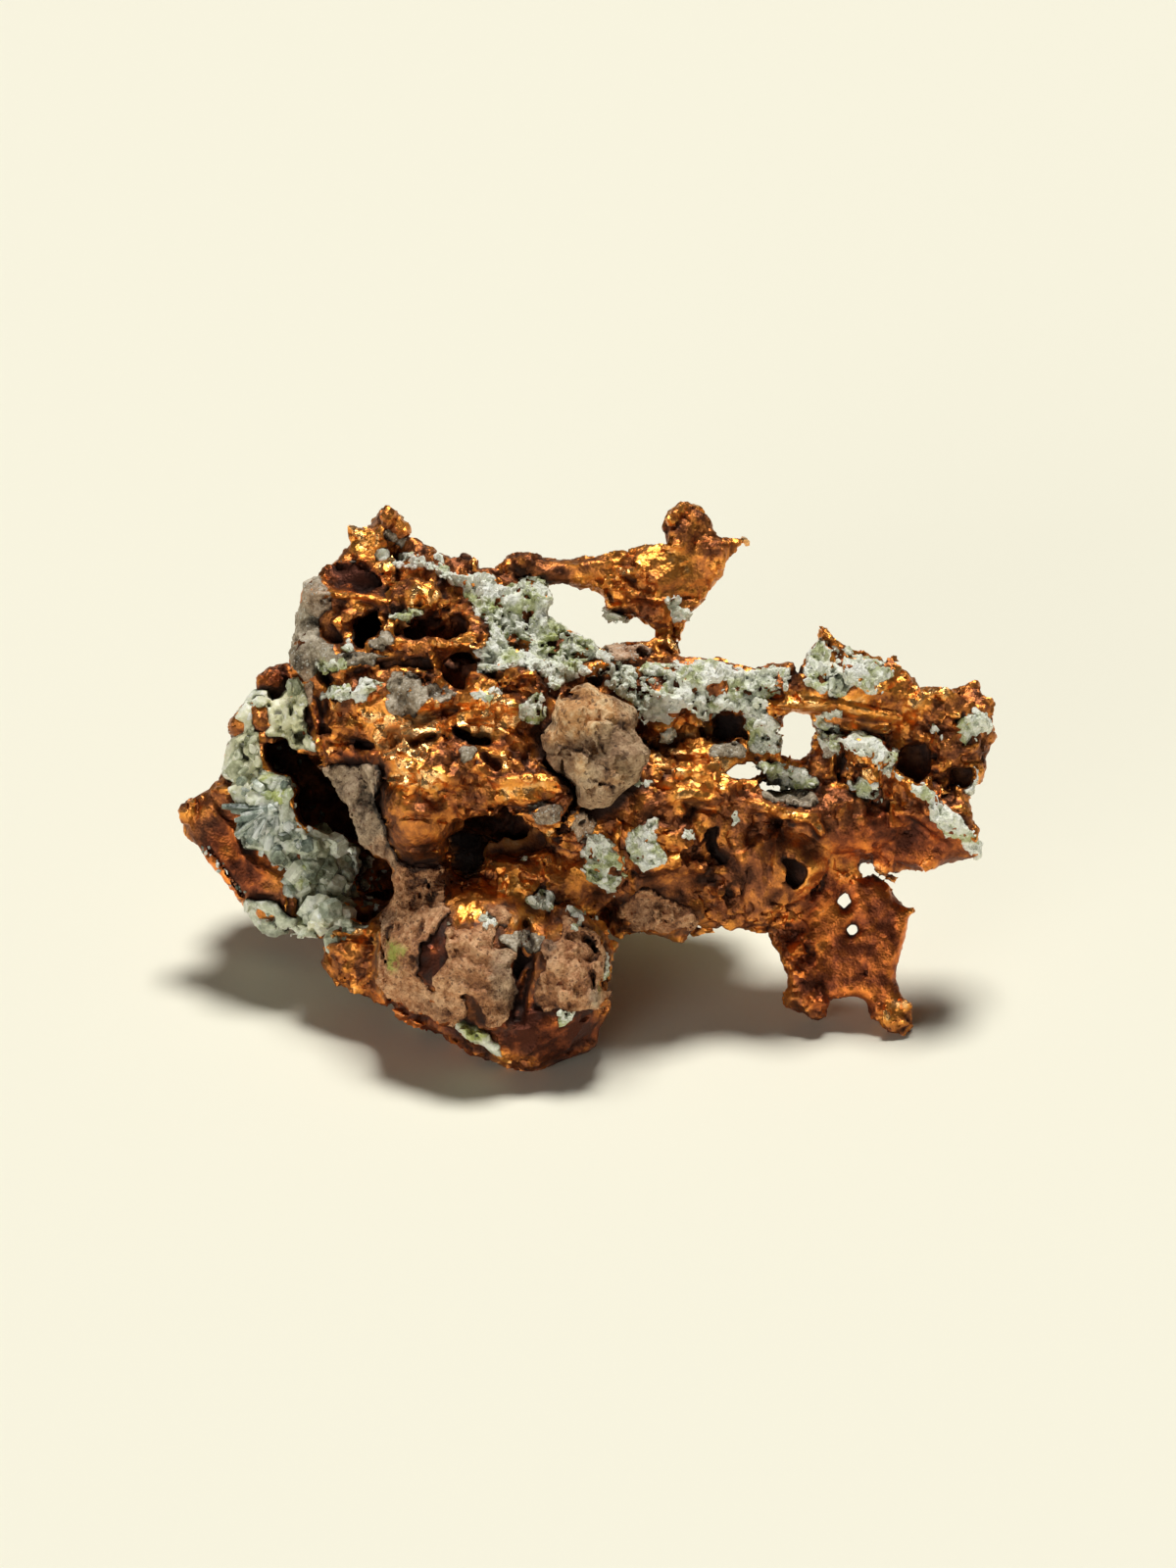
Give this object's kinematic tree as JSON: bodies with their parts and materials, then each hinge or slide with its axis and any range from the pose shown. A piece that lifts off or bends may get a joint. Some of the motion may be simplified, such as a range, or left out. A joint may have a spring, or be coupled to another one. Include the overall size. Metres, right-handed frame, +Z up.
{
  "type": "native copper specimen",
  "caption": "Hackly, branching lump of native copper with an arch, an openwork arm and a thin foot, holding brown rock, pale green crust and prehnite crystals.",
  "frame": {"origin": "centre of the bottom of the specimen's box, on the surface it rests on", "axes": "+X along the long side toward the arm, +Y away from the front, +Z up"},
  "size_m": [0.101, 0.0568, 0.0541],
  "materials": {
    "copper": "hackly native copper, bright gold-orange on worn points and brown in the hollows",
    "rock": "rough, dull brown-grey matrix rock, tan where it is weathered",
    "prehnite": "waxy pale green crystals, slightly clear at their edges",
    "green_crust": "chalky pale blue-green crust with small yellow-green spots"
  },
  "bodies": {
    "root": {"copper_mass": "copper", "copper_arch": "copper", "copper_arm": "copper", "copper_foot": "copper", "rock_knob": "rock", "prehnite_crust": "prehnite"}
  },
  "joints": []
}
